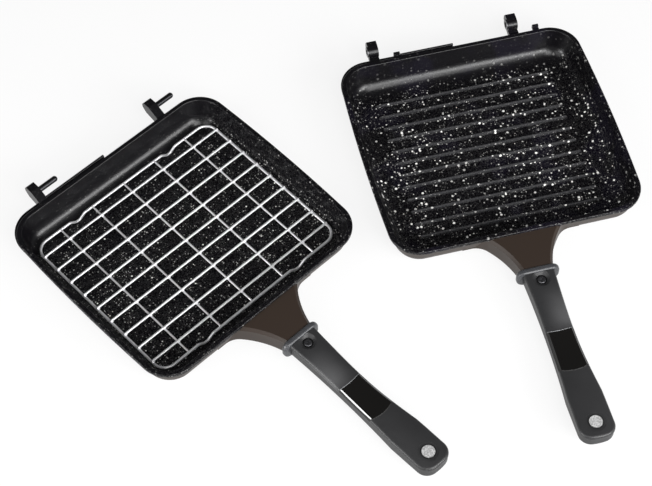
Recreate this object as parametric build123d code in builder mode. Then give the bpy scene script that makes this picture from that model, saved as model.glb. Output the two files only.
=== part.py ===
from build123d import *
from math import tan, radians, cos, sin
import os

os.makedirs("parts", exist_ok=True)

# Two cast pan halves that hook together at the back and close face to face.
# The rack half is the one in the row's frame: origin at the middle of its base,
# its handle towards -Y, its hinge edge towards +Y, the table at z = 0.

# ---- pan casting, the same on both halves ----
rim_width = 250.6            # across the rim at its middle, along the hinge edge
rim_depth = 232.6            # across the rim, from hinge edge to handle
side_bow = 3.5               # how far the two side edges bow outwards
rim_corner = 30.0            # corner radius of the rim seen from above
rim_land = 4.6               # flat top of the rim, outer edge to cavity
rim_lip_height = 3.2         # height of the small flange under the rim
rim_lip_reach = 1.4          # how far that flange stands out of the wall
rim_outer_round = 1.3        # rounding of the rim's outer edges
rim_inner_round = 0.9        # rounding of the rim's edge into the cavity
pan_height = 32.0            # base to rim
floor_thickness = 3.5
wall_draft = 13.0            # lean of the walls, degrees
inner_sweep = 15.5           # radius between floor and wall, inside
outer_sweep = 20.5           # radius between base and wall, outside

# ---- griddle ridges of the ridge half ----
ridge_count = 12
ridge_end_gap = 34.3         # rim's outer edge to the ridges' ends
ridge_side_gap = 35.45       # rim's outer edge to the middle of the first ridge
ridge_foot = 3.4             # width where it leaves the floor
ridge_height = 2.2
ridge_draft = 22.0

# ---- neck that carries the handle ----
neck_reach = 38.5            # from the rim to the guard ring
neck_root_half = 41.0        # half width where it meets the wall
neck_root_in = 5.8           # that line, inside the rim's edge
neck_root_round = 18.0       # flare between its sides and the wall
neck_waist_half = 22.4       # half width part of the way along
neck_waist_at = 19.5         # where that is, from the rim
neck_tip_half = 15.4         # half width at the guard ring
neck_drop = 2.0              # top of the neck below the rim
neck_thick = 18.0
neck_bevel = 2.6             # bevel along the neck's top sides
neck_wall = 3.4              # walls round the cored underside
neck_skin = 4.2              # thickness over the cored underside
tang_width = 18.0            # tongue that runs into the handle
tang_thick = 7.0
tang_length = 34.0           # from the neck's end
tang_drop = 11.0             # top of the tongue below the rim

# ---- hinge ----
mating_gap = 0.30            # between the two rims when closed
hinge_reach = 13.0           # hinge line beyond the rim
pin_radius = 2.9
pin_length = 21.5            # free length beside its lug
pin_seat = 8.0               # length held in the lug
press_gap = 0.02             # radial, a pin in the lug that holds it
running_gap = 0.06           # radial, anything that turns on a pin
bush_wall = 1.1
bush_flange_reach = 1.3      # flange beyond the bush's barrel
bush_flange_thick = 0.9
lug_width = 9.2
lug_from_left = 45.5         # left lug, from the rim's -X side to its -X side
lug_from_right = 59.7        # right lug, from the rim's +X side to its -X side
lug_top = 5.9                # flat top above the hinge line
lug_back = 9.3               # back of a lug behind the hinge line
lug_front = 0.8              # start of the flat top ahead of the hinge line
lug_crown = 7.0              # end of the flat top behind the hinge line
lug_belly = 6.6              # underside below the hinge line
lug_toe = 0.5                # foot of the sloped front, beyond the rim
lug_chin = 1.2               # lower end of a lug's or heel's back, below the hinge line
lug_depth = 11.2             # lug's root below the rim
web_depth = 9.9              # an ear's web below the rim
web_drop = 1.5               # top of that web below the rim
web_root = 5.3               # how far lugs and webs reach under the rim
ear_wall = 2.5               # metal round the bush
ear_width = 10.0
ear_top = 7.0                # flat top of an ear's heel above the hinge line
ear_heel = 1.0               # start of that flat top behind the hinge line
ear_back = 9.2               # back of the heel behind the hinge line
ear_side_gap = 1.6           # between a lug and the ear beside it
stop_gap = 3.8               # between a lug and the stop block beside it
stop_width = 6.2
stop_reach = 5.6             # stop block beyond the rim
stop_rise = 1.1              # stop block above the rim
stop_inner = 3.1             # inner face of its raised part, beyond the rim
sill_reach = 2.6             # ledge and sill beyond the rim along half the hinge edge
sill_wall = 2.1              # thickness of the raised sill
sill_rise = 1.4              # sill above the rim
sill_round = 0.6
ledge_drop = 1.2             # ledge below the rim
sill_end = -1.0              # ledge and sill stop just short of the middle
ledge_start = 85.0           # the ledge follows the corner from here on

# ---- guard ring between neck and handle ----
guard_half = 20.5
guard_length = 6.2
guard_drop = 0.7             # top of the ring below the rim
guard_depth = 20.2
guard_corner = 8.0
guard_round = 2.4
tang_gap = 0.3               # round the tongue, in ring and grip

# ---- handle ----
grip_front_half = 15.0       # half width at the guard ring
grip_waist_half = 13.0       # half width at the waist
grip_pad_half = 16.3         # half width where the end pad begins
grip_end_half = 16.6         # half width at the end of the pad
grip_waist_at = 54.0         # positions along the handle, from the guard ring
grip_pad_length = 45.2       # the pad, from the handle's end
grip_length = 173.2
grip_end_corner = 12.0
grip_end_bulge = 2.6
top_front = 1.6              # top of the handle below the rim, at the guard ring
top_screw = 2.5              # the same, just past the screw
top_waist = 6.5              # the same, lowest point
top_pad = 2.8                # the same, on the end pad
screw_from_guard = 7.2
screw_flat_at = 18.0         # level stretch past the screw, from the guard ring
waist_low_at = 78.0
pad_flat_length = 30.2       # level top of the pad, from the handle's end
shell_thick = 4.6            # cover shell, from its top to the parting line
belly_front = 20.0           # underside of the handle below the rim, at the ring
belly_middle = 23.6
belly_middle_at = 84.0
belly_end = 18.5
grip_under_round = 5.0
grip_crown = 2.0             # how far the crowned top falls from its middle to its sides
grip_top_round = 2.8
part_groove = 0.35           # step at the parting line

# ---- gloss inlay, screw and magnet in the handle ----
inlay_near = 59.0            # ends of the inlay at its sides, from the guard ring
inlay_near_sag = 2.9
inlay_far = 97.1
inlay_far_sag = 7.0
inlay_thick = 3.4
inlay_proud = 0.3
inlay_edge = 2.2             # chamfer along its sides
inlay_end_edge = 0.5         # the same at its two ends
dish_radius = 5.3            # floor of the conical dish round the screw
dish_drop = 4.4              # floor of that dish below the rim
dish_flare = 54.0            # lean of its wall, degrees
screw_bore = 5.0
screw_bore_drop = 6.9
screw_head = 3.9
screw_head_thick = 2.9
screw_head_round = 0.9
screw_shank = 2.0
screw_length = 13.0
screw_socket = 1.5           # half width across its hexagon socket
screw_socket_deep = 1.4
magnet_from_end = 15.6
magnet_radius = 6.2
magnet_thick = 3.0
magnet_proud = 0.1           # magnet above the pad
magnet_dish = 9.2
magnet_dish_deep = 0.6
fit_gap = 0.05               # a glued or clipped piece in its pocket

# ---- wire rack ----
rack_side_gap = 17.3         # rim's outer edge to the rail, at the sides
rack_end_gap = 23.3          # the same, at the handle and hinge ends
rack_corner = 13.0
frame_wire = 1.3             # radii of the wires
cross_wire = 1.15
stay_wire = 0.95
cross_count = 9
cross_from_rail = 15.0       # first and last cross wire, from the rails beside them
cross_overhang = 0.5         # cross wires past the middle of the rails they lie on
stay_count = 5
stay_from_rail = 30.6
weld_set = 0.3               # how far welded wires sink into each other
foot_drop = 5.0              # depth of the bent feet
foot_from_corner = 51.0      # middle of a foot, from the rail round the corner
foot_run = 9.0               # half length of a foot
foot_flat = 2.2              # half length of its sole
foot_bend = 3.0
rack_rest_gap = 0.2          # feet above the floor

# ---- where the ridge half lies, taken off and face up beside the rack half ----
apart_x = 282.6
apart_y = -122.6
apart_turn = -29.76

spare = 3.0                  # how far a cutting shape runs past what it cuts
tip_chamfer = 0.5            # chamfer at the pins' hidden ends
edge_chamfer = 0.3
profile_spare = 1.0          # how far a side profile runs past the handle's end

# ---- derived places ----
rim_front = -rim_depth / 2
rim_back = rim_depth / 2
wall_line = rim_front + neck_root_in
hinge_y = rim_back + hinge_reach
hinge_z = pan_height + mating_gap / 2
guard_y = rim_front - neck_reach
grip_y = guard_y - guard_length
wall_lean = tan(radians(wall_draft))
bush_bore = pin_radius + running_gap
bush_radius = bush_bore + bush_wall
ear_bore = bush_radius + running_gap
ear_radius = ear_bore + ear_wall
lug_left = lug_from_left - rim_width / 2
right_lug_left = rim_width / 2 - lug_from_right
lug_spacing = right_lug_left - lug_left
ear_near_left = -(lug_left + lug_width + ear_side_gap + ear_width)
ear_far_left = ear_near_left - lug_spacing
apart = Location((apart_x, apart_y, 0), (0, 0, apart_turn))
rack_half_width = rim_width / 2 - rack_side_gap
rack_half_depth = rim_depth / 2 - rack_end_gap
cross_pitch = 2 * (rack_half_depth - cross_from_rail) / (cross_count - 1)
stay_pitch = 2 * (rack_half_width - stay_from_rail) / (stay_count - 1)
foot_at = rack_half_width - foot_from_corner
ridge_length = rim_width - 2 * ridge_end_gap
ridge_pitch = (rim_depth - 2 * ridge_side_gap) / (ridge_count - 1)
grip_pad_at = grip_length - grip_pad_length
pad_flat_at = grip_length - pad_flat_length


# ================= pan casting =================
def tray_outline(width, depth, corner):
    # rim seen from above: straight ends, bowed sides, round corners
    with BuildSketch() as outline:
        with BuildLine():
            side = width / 2
            tip = side - side_bow
            end = depth / 2
            Line((-tip, end), (tip, end))
            ThreePointArc((tip, end), (side, 0), (tip, -end))
            Line((tip, -end), (-tip, -end))
            ThreePointArc((-tip, -end), (-side, 0), (-tip, end))
        make_face()
        fillet(outline.vertices(), corner)
    return outline.sketch


def neck_outline(inset):
    # neck seen from above: flares out of the wall and narrows to the guard ring
    with BuildSketch() as outline:
        with Locations((0, wall_line)):
            Rectangle(2.8 * neck_root_half, rim_land, align=(Align.CENTER, Align.MIN))
        with BuildLine():
            root = (neck_root_half - inset, wall_line)
            waist = (neck_waist_half - inset, rim_front - neck_waist_at)
            tip = (neck_tip_half - inset, guard_y + inset)
            ThreePointArc(root, waist, tip)
            Line(tip, (-tip[0], tip[1]))
            ThreePointArc((-tip[0], tip[1]), (-waist[0], waist[1]), (-root[0], root[1]))
            Line((-root[0], root[1]), root)
        make_face()
        corners = outline.vertices().filter_by(lambda v: abs(abs(v.X) - root[0]) < 0.01)
        fillet(corners, neck_root_round)
    return outline.sketch


with BuildPart() as cavity:
    lean = (pan_height - floor_thickness) * wall_lean
    with BuildSketch(Plane.XY.offset(floor_thickness)):
        add(tray_outline(
            rim_width - 2 * rim_land - 2 * lean,
            rim_depth - 2 * rim_land - 2 * lean,
            rim_corner - rim_land - lean,
        ))
    extrude(amount=pan_height - floor_thickness, taper=-wall_draft)
    fillet(cavity.edges().group_by(Axis.Z)[0], inner_sweep)

with BuildPart() as casting:
    # drafted bowl with its large swept radius
    lean = pan_height * wall_lean + rim_lip_reach
    with BuildSketch(Plane.XY):
        add(tray_outline(
            rim_width - 2 * lean,
            rim_depth - 2 * lean,
            rim_corner - lean,
        ))
    extrude(amount=pan_height, taper=-wall_draft)
    fillet(casting.edges().group_by(Axis.Z)[0], outer_sweep)
    # rim flange
    with BuildSketch(Plane.XY.offset(pan_height - rim_lip_height)):
        add(tray_outline(rim_width, rim_depth, rim_corner))
    extrude(amount=rim_lip_height)
    fillet(casting.edges().group_by(Axis.Z)[-1], rim_outer_round)
    # narrow ledge along the left half of the hinge edge and round its corner
    with BuildSketch(Plane.XY.offset(pan_height - rim_lip_height)):
        with Locations((0, sill_reach)):
            add(tray_outline(rim_width, rim_depth, rim_corner))
        with Locations((sill_end, ledge_start)):
            Rectangle(rim_width, rim_depth, align=(Align.MAX, Align.MIN), mode=Mode.INTERSECT)
    extrude(amount=rim_lip_height - ledge_drop)

with BuildPart() as neck:
    neck_z = pan_height - neck_drop - neck_thick
    # flared neck, bevelled along its top sides
    with BuildSketch(Plane.XY.offset(neck_z)):
        add(neck_outline(0))
    extrude(amount=neck_thick)
    side_edges = neck.edges().group_by(Axis.Z)[-1].filter_by(GeomType.CIRCLE)
    chamfer(side_edges, neck_bevel)
    # cored underside, open downwards
    with BuildSketch(Plane.XY.offset(neck_z)):
        add(neck_outline(neck_wall))
        with Locations((0, rim_front - 2 * neck_wall)):
            Rectangle(rim_width, neck_reach, align=(Align.CENTER, Align.MAX), mode=Mode.INTERSECT)
    extrude(amount=neck_thick - neck_skin, mode=Mode.SUBTRACT)
    # tongue into the handle
    with BuildSketch(Plane.XY.offset(pan_height - tang_drop - tang_thick)):
        with Locations((0, guard_y + neck_wall)):
            Rectangle(tang_width, tang_length + neck_wall, align=(Align.CENTER, Align.MAX))
    extrude(amount=tang_thick)
    # hole for the handle screw
    with Locations((0, grip_y - screw_from_guard, pan_height - tang_drop)):
        Hole(screw_shank + press_gap)

with BuildPart() as pan:
    add(casting.part)
    add(neck.part)
    add(cavity.part, mode=Mode.SUBTRACT)
    inner_rim = pan.edges().group_by(Axis.Z)[-1]
    inner_rim = inner_rim.filter_by(
        lambda e: abs(e.center().Y) < rim_back - rim_land + 0.1
        and abs(e.center().X) < rim_width / 2 - rim_land + 0.1
    )
    fillet(inner_rim, rim_inner_round)


# ================= rack half =================
def drip_sill(left, right):
    # raised sill along the outer side of the ledge, covering the joint line
    with BuildPart() as sill:
        outer = rim_back + sill_reach
        with BuildSketch(Plane.YZ.offset(left)):
            with Locations((outer, pan_height - rim_lip_height)):
                Rectangle(
                    sill_wall,
                    rim_lip_height + sill_rise,
                    align=(Align.MAX, Align.MIN),
                )
        extrude(amount=right - left)
        top_edges = sill.edges().group_by(Axis.Z)[-1].filter_by(Axis.X)
        fillet(top_edges, sill_round)
    return sill.part


with BuildPart() as rack_pan:
    add(pan.part)
    add(drip_sill(lug_left + lug_width, sill_end))
    for left in (lug_left, right_lug_left):
        # lug: sloped front, flat crown, rounded belly, rooted under the rim
        with BuildSketch(Plane.YZ.offset(left)):
            with BuildLine():
                Polyline(
                    (rim_back - rim_land / 2, pan_height - mating_gap),
                    (rim_back + lug_toe, pan_height - mating_gap),
                    (hinge_y - lug_front, hinge_z + lug_top),
                    (hinge_y + lug_crown, hinge_z + lug_top),
                    (hinge_y + lug_back, hinge_z + lug_top / 2),
                    (hinge_y + lug_back, hinge_z - lug_chin),
                    (hinge_y + lug_back / 2, hinge_z - lug_belly),
                    (rim_back, pan_height - lug_depth),
                    (rim_back - web_root, pan_height - lug_depth),
                    close=True,
                )
            make_face()
        extrude(amount=lug_width)
        # blind hole for the pin
        with BuildSketch(Plane.YZ.offset(left + lug_width - pin_seat)):
            with Locations((hinge_y, hinge_z)):
                Circle(pin_radius + press_gap)
        extrude(amount=pin_seat, mode=Mode.SUBTRACT)


def hinge_pin(left):
    # headless pin with a domed tip
    with BuildPart() as pin:
        with BuildSketch(Plane.XY):
            with BuildLine():
                start = left + lug_width - pin_seat
                end = left + lug_width + pin_length
                Line((start, 0), (end, 0))
                RadiusArc((end, 0), (end - pin_radius, pin_radius), -pin_radius)
                Polyline(
                    (end - pin_radius, pin_radius),
                    (start + tip_chamfer, pin_radius),
                    (start, pin_radius - tip_chamfer),
                    (start, 0),
                )
            make_face()
        revolve(axis=Axis.X)
    return pin.part.moved(Location((0, hinge_y, hinge_z)))


with BuildPart() as pin_left:
    add(hinge_pin(lug_left))

with BuildPart() as pin_right:
    add(hinge_pin(right_lug_left))


# ================= ridge half =================
with BuildPart() as ridge_pan:
    add(pan.part)
    # griddle ridges with round ends
    with BuildSketch(Plane.XY.offset(floor_thickness)):
        with GridLocations(0, ridge_pitch, 1, ridge_count):
            SlotOverall(ridge_length, ridge_foot)
    extrude(amount=ridge_height, taper=ridge_draft)
    # sill along half of the hinge edge
    near_stop_left = -(right_lug_left - stop_gap)
    far_stop_left = -(lug_left - stop_gap)
    add(drip_sill(near_stop_left + stop_width, sill_end))
    for left in (near_stop_left, far_stop_left):
        # stop block that keeps a lug from sliding off its ear
        with BuildSketch(Plane.YZ.offset(left)):
            with BuildLine():
                Polyline(
                    (rim_back - rim_land / 2, pan_height - ledge_drop),
                    (rim_back + stop_inner, pan_height - ledge_drop),
                    (rim_back + stop_inner, pan_height + stop_rise),
                    (rim_back + stop_reach, pan_height + stop_rise),
                    (rim_back + stop_reach, pan_height - rim_lip_height),
                    (rim_back - rim_land / 2, pan_height - 2 * rim_lip_height),
                    close=True,
                )
            make_face()
        extrude(amount=stop_width)
    for left in (ear_near_left, ear_far_left):
        # ear: round barrel, flat-topped heel behind it, web under the rim
        with BuildSketch(Plane.YZ.offset(left)):
            with Locations((hinge_y, hinge_z)):
                Circle(ear_radius)
            with BuildLine():
                Polyline(
                    (hinge_y, hinge_z + ear_radius),
                    (hinge_y + ear_heel, hinge_z + ear_top),
                    (hinge_y + lug_crown, hinge_z + ear_top),
                    (hinge_y + ear_back, hinge_z + ear_top / 2),
                    (hinge_y + ear_back, hinge_z - lug_chin),
                    (hinge_y, hinge_z - ear_radius),
                    close=True,
                )
            make_face()
            with BuildLine():
                Polyline(
                    (rim_back - rim_land / 2, pan_height - web_drop),
                    (rim_back + web_drop, pan_height - rim_lip_height),
                    (hinge_y - ear_radius / 2, pan_height - rim_lip_height),
                    (hinge_y, hinge_z - ear_radius),
                    (rim_back, pan_height - web_depth),
                    (rim_back - web_root, pan_height - web_depth),
                    close=True,
                )
            make_face()
            with Locations((hinge_y, hinge_z)):
                Circle(ear_bore, mode=Mode.SUBTRACT)
        extrude(amount=ear_width)


def hinge_bush(left):
    # flanged bush, its flange on the ear's open side
    with BuildPart() as bush:
        with BuildSketch(Plane.XY):
            with BuildLine():
                flange = left - running_gap - bush_flange_thick
                Polyline(
                    (left + ear_width, bush_bore),
                    (left + ear_width, bush_radius),
                    (left - running_gap, bush_radius),
                    (left - running_gap, bush_radius + bush_flange_reach),
                    (flange, bush_radius + bush_flange_reach),
                    (flange, bush_bore),
                    close=True,
                )
            make_face()
        revolve(axis=Axis.X)
    return bush.part.moved(Location((0, hinge_y, hinge_z)))


with BuildPart() as bush_left:
    add(hinge_bush(ear_far_left))

with BuildPart() as bush_right:
    add(hinge_bush(ear_near_left))


# ================= guard ring =================
with BuildPart() as guard:
    with BuildSketch(Plane.XZ.offset(-guard_y)):
        with Locations((0, pan_height - guard_drop - guard_depth / 2)):
            RectangleRounded(2 * guard_half, guard_depth, guard_corner)
    extrude(amount=guard_length)
    outer_edges = guard.edges().filter_by(Plane.XZ)
    fillet(outer_edges, guard_round)
    with BuildSketch(Plane.XZ.offset(-guard_y)):
        with Locations((0, pan_height - tang_drop - tang_thick / 2)):
            Rectangle(tang_width + 2 * tang_gap, tang_thick + 2 * tang_gap)
    extrude(amount=guard_length, mode=Mode.SUBTRACT)


# ================= handle =================
def along(distance):
    # distance behind the guard ring, as a place on Y
    return grip_y - distance


def grip_outline(inset):
    # handle seen from above: wide at the ring, waisted, widest at the end pad
    with BuildSketch() as outline:
        with BuildLine():
            front = grip_front_half - inset
            waist = grip_waist_half - inset
            pad = grip_pad_half - inset
            last = grip_end_half - inset
            end = along(grip_length) + inset
            Line((-front, grip_y), (front, grip_y))
            ThreePointArc(
                (front, grip_y),
                (waist, along(grip_waist_at)),
                (pad, along(grip_pad_at)),
            )
            Line((pad, along(grip_pad_at)), (last, end + grip_end_bulge))
            ThreePointArc(
                (last, end + grip_end_bulge),
                (0, end),
                (-last, end + grip_end_bulge),
            )
            Line((-last, end + grip_end_bulge), (-pad, along(grip_pad_at)))
            ThreePointArc(
                (-pad, along(grip_pad_at)),
                (-waist, along(grip_waist_at)),
                (-front, grip_y),
            )
        make_face()
        end_corners = outline.vertices().filter_by(lambda v: abs(v.X) > last - 0.1)
        fillet(end_corners, grip_end_corner - inset)
    return outline.sketch


def top_line(drop):
    # side view of the handle's top: falls from the ring, dips at the waist, flat pad
    level = pan_height - drop
    curve = Spline(
        (grip_y, level - top_front),
        (along(screw_flat_at), level - top_screw),
        (along(waist_low_at), level - top_waist),
        (along(pad_flat_at), level - top_pad),
        tangents=[(-1, -0.08), (-1, 0)],
    )
    Line(curve @ 1, (along(grip_length) - profile_spare, level - top_pad))
    return curve


def crowned_body(drop):
    # everything under the handle's crowned top, the given drop below it
    with BuildPart() as body:
        with BuildLine(Plane.YZ) as ridge_line:
            top_line(drop)
        reach = grip_end_half + spare
        start = Plane(
            origin=ridge_line.line @ 0,
            x_dir=(1, 0, 0),
            z_dir=ridge_line.line % 0,
        )
        with BuildSketch(start):
            with BuildLine():
                ThreePointArc((-reach, -grip_crown), (0, 0), (reach, -grip_crown))
                Polyline(
                    (reach, -grip_crown),
                    (reach, -pan_height),
                    (-reach, -pan_height),
                    (-reach, -grip_crown),
                )
            make_face()
        sweep()
    return body.part


def side_slab(upper, lower, half):
    # slab between two copies of the top line, as wide as asked
    with BuildPart() as slab:
        with BuildSketch(Plane.YZ):
            with BuildLine():
                first = top_line(upper)
                second = top_line(lower)
                far = along(grip_length) - profile_spare
                Line(first @ 0, second @ 0)
                Line((far, pan_height - upper - top_pad), (far, pan_height - lower - top_pad))
            make_face()
        extrude(amount=half, both=True)
    return slab.part


with BuildPart() as cover:
    # cover shell of the handle
    with BuildSketch(Plane.XY):
        add(grip_outline(0))
    extrude(amount=pan_height)
    add(side_slab(0, shell_thick, grip_end_half + spare), mode=Mode.INTERSECT)
    add(crowned_body(0), mode=Mode.INTERSECT)
    top_faces = cover.faces().filter_by(lambda f: f.normal_at().Z > 0.7)
    fillet(top_faces.edges().filter_by(Plane.XZ, reverse=True), grip_top_round)

with BuildPart() as inlay_zone:
    # region of the inlay seen from above, with bowed ends
    with BuildSketch(Plane.XY):
        with BuildLine():
            side = grip_end_half + spare
            Line((side, along(inlay_near)), (side, along(inlay_far)))
            ThreePointArc(
                (side, along(inlay_far)),
                (0, along(inlay_far + inlay_far_sag)),
                (-side, along(inlay_far)),
            )
            Line((-side, along(inlay_far)), (-side, along(inlay_near)))
            ThreePointArc(
                (-side, along(inlay_near)),
                (0, along(inlay_near + inlay_near_sag)),
                (side, along(inlay_near)),
            )
        make_face()
    extrude(amount=2 * pan_height)

with BuildPart() as inlay:
    with BuildSketch(Plane.XY):
        add(grip_outline(0))
    extrude(amount=2 * pan_height)
    add(side_slab(-inlay_proud, inlay_thick, grip_end_half + spare), mode=Mode.INTERSECT)
    add(crowned_body(-inlay_proud), mode=Mode.INTERSECT)
    # chamfer its long sides, then cut it to its bowed ends
    top_faces = inlay.faces().filter_by(lambda f: f.normal_at().Z > 0.7)
    chamfer(top_faces.edges().filter_by(Plane.XZ, reverse=True), inlay_edge)
    add(inlay_zone.part, mode=Mode.INTERSECT)
    end_edges = inlay.faces().sort_by(lambda f: f.center().Z)[-1].edges()
    chamfer(end_edges.sort_by(lambda e: abs(e.center().X))[:2], inlay_end_edge)

with BuildPart() as grip_cover:
    add(cover.part)
    pocket = side_slab(-spare, inlay_thick + fit_gap, grip_end_half + 2 * spare)
    add(inlay_zone.part & pocket, mode=Mode.SUBTRACT)
    screw_spot = (0, along(screw_from_guard))
    # conical dish round the screw, cut into the sloping top
    with BuildSketch(Plane.XY.offset(pan_height - dish_drop)):
        with Locations(screw_spot):
            Circle(dish_radius)
    extrude(amount=dish_drop, taper=-dish_flare, mode=Mode.SUBTRACT)
    with BuildSketch(Plane.XY.offset(pan_height - screw_bore_drop)):
        with Locations(screw_spot):
            Circle(screw_bore)
    extrude(amount=screw_bore_drop, mode=Mode.SUBTRACT)
    # magnet pocket in a shallow dish
    magnet_spot = (0, along(grip_length - magnet_from_end))
    with BuildSketch(Plane.XY.offset(pan_height - top_pad - magnet_dish_deep)):
        with Locations(magnet_spot):
            Circle(magnet_dish)
    extrude(amount=magnet_dish_deep + spare, mode=Mode.SUBTRACT)
    with BuildSketch(Plane.XY.offset(pan_height - top_pad + magnet_proud - magnet_thick)):
        with Locations(magnet_spot):
            Circle(magnet_radius + fit_gap)
    extrude(amount=magnet_thick + spare, mode=Mode.SUBTRACT)

with BuildPart() as grip_body:
    # lower shell of the handle, with a swept belly
    with BuildSketch(Plane.XY):
        add(grip_outline(part_groove))
    extrude(amount=pan_height)
    with BuildSketch(Plane.YZ):
        with BuildLine():
            upper = top_line(shell_thick)
            far = along(grip_length) - profile_spare
            Line(upper @ 0, (grip_y, pan_height - belly_front))
            Spline(
                (grip_y, pan_height - belly_front),
                (along(belly_middle_at), pan_height - belly_middle),
                (far, pan_height - belly_end),
            )
            Line((far, pan_height - belly_end), (far, pan_height - shell_thick - top_pad))
        make_face()
    extrude(amount=grip_end_half + spare, both=True, mode=Mode.INTERSECT)
    under_faces = grip_body.faces().filter_by(lambda f: f.normal_at().Z < -0.7)
    fillet(under_faces.edges().filter_by(Axis.X, reverse=True), grip_under_round)
    # pocket for the tongue
    with BuildSketch(Plane.XZ.offset(-grip_y)):
        with Locations((0, pan_height - tang_drop - tang_thick / 2)):
            Rectangle(tang_width + 2 * tang_gap, tang_thick + 2 * tang_gap)
    extrude(amount=tang_length - guard_length + tang_gap, mode=Mode.SUBTRACT)
    # seat of the screw head, and the hole for its shank
    with BuildSketch(Plane.XY.offset(pan_height - screw_bore_drop)):
        with Locations(screw_spot):
            Circle(screw_bore)
    extrude(amount=screw_bore_drop, mode=Mode.SUBTRACT)
    with Locations((*screw_spot, pan_height - screw_bore_drop)):
        Hole(screw_shank + tang_gap, depth=screw_length)

with BuildPart() as screw:
    # button head with a hexagon socket, shank down into the tongue
    head_top = pan_height - screw_bore_drop + screw_head_thick
    with BuildSketch(Plane.XY.offset(pan_height - screw_bore_drop)):
        with Locations(screw_spot):
            Circle(screw_head)
    extrude(amount=screw_head_thick)
    fillet(screw.edges().group_by(Axis.Z)[-1], screw_head_round)
    with BuildSketch(Plane.XY.offset(head_top)):
        with Locations(screw_spot):
            RegularPolygon(screw_socket, 6, major_radius=False)
    extrude(amount=-screw_socket_deep, mode=Mode.SUBTRACT)
    with BuildSketch(Plane.XY.offset(pan_height - screw_bore_drop)):
        with Locations(screw_spot):
            Circle(screw_shank)
    extrude(amount=-(screw_length - screw_head_thick))

with BuildPart() as magnet:
    with BuildSketch(Plane.XY.offset(pan_height - top_pad + magnet_proud - magnet_thick)):
        with Locations(magnet_spot):
            Circle(magnet_radius)
    extrude(amount=magnet_thick)
    chamfer(magnet.edges().group_by(Axis.Z)[-1], edge_chamfer)


# ================= wire rack =================
frame_z = floor_thickness + rack_rest_gap + frame_wire + foot_drop
cross_z = frame_z + frame_wire + cross_wire - weld_set
stay_z = cross_z - cross_wire - stay_wire + weld_set


def foot_points(middle, rail, way):
    # one joggled foot in a rail, walked along X in the given way
    return [
        (middle - way * foot_run, rail, frame_z),
        (middle - way * foot_flat, rail, frame_z - foot_drop),
        (middle + way * foot_flat, rail, frame_z - foot_drop),
        (middle + way * foot_run, rail, frame_z),
    ]


with BuildPart() as rack_frame:
    with BuildLine() as loop:
        route = foot_points(-foot_at, rack_half_depth, 1)
        route += foot_points(foot_at, rack_half_depth, 1)
        route += [
            (rack_half_width, rack_half_depth, frame_z),
            (rack_half_width, -rack_half_depth, frame_z),
        ]
        route += foot_points(foot_at, -rack_half_depth, -1)
        route += foot_points(-foot_at, -rack_half_depth, -1)
        route += [
            (-rack_half_width, -rack_half_depth, frame_z),
            (-rack_half_width, rack_half_depth, frame_z),
        ]
        bends = 8 * [foot_bend] + 2 * [rack_corner]
        FilletPolyline(*route, radius=2 * bends, close=True)
    with BuildSketch(loop.line ^ 0):
        Circle(frame_wire)
    sweep()

with BuildPart() as rack_cross_wires:
    with BuildSketch(Plane.YZ.offset(-rack_half_width - cross_overhang)):
        with Locations((0, cross_z)):
            with GridLocations(cross_pitch, 0, cross_count, 1):
                Circle(cross_wire)
    extrude(amount=2 * (rack_half_width + cross_overhang))

with BuildPart() as rack_stay_wires:
    with BuildSketch(Plane.XZ.offset(-rack_half_depth + weld_set)):
        with Locations((0, stay_z)):
            with GridLocations(stay_pitch, 0, stay_count, 1):
                Circle(stay_wire)
    extrude(amount=2 * (rack_half_depth - weld_set))


# ================= pieces =================
def keep(piece, name, place=Location()):
    solid = piece.moved(place)
    solid.label = name
    export_step(solid, "parts/" + name + ".step")


keep(rack_pan.part, "rack_pan")
keep(pin_left.part, "hinge_pin_left")
keep(pin_right.part, "hinge_pin_right")
keep(ridge_pan.part, "ridge_pan", apart)
keep(bush_left.part, "hinge_bush_left", apart)
keep(bush_right.part, "hinge_bush_right", apart)
for half, place in (("rack_half", Location()), ("ridge_half", apart)):
    keep(guard.part, half + "_guard_ring", place)
    keep(grip_cover.part, half + "_grip_cover", place)
    keep(grip_body.part, half + "_grip_body", place)
    keep(inlay.part, half + "_gloss_inlay", place)
    keep(screw.part, half + "_handle_screw", place)
    keep(magnet.part, half + "_magnet", place)
keep(rack_frame.part, "rack_frame")
keep(rack_cross_wires.part, "rack_cross_wires")
keep(rack_stay_wires.part, "rack_stay_wires")
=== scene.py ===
import bmesh
import bpy
import numpy as np
from mathutils import Matrix, Vector
from mathutils.bvhtree import BVHTree


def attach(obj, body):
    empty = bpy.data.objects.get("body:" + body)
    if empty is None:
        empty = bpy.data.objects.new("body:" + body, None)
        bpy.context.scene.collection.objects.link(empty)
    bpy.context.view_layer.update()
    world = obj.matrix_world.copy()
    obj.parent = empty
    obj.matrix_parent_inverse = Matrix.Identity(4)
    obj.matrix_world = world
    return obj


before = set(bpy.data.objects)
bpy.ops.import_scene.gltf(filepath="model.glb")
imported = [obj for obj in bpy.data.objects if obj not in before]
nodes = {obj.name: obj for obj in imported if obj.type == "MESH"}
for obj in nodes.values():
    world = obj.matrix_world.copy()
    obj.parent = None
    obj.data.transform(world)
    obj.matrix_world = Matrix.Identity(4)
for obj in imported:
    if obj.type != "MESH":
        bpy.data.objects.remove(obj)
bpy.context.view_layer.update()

print("frame loaded,", len(nodes), "solids")

mm = 0.001
# sizes that both halves share, from the middle of the tray's underside
rimTop = 32 * mm
rimReach = 116.3 * mm      # to the rim's edge, on the hinge side and on the neck's
floorTop = 3.5 * mm
magnetAt = -318.6 * mm     # the magnet's axis, along the handle
bowHalf = 19.6 * mm        # the bows of an inlay's two ends are measured at this half width
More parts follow.
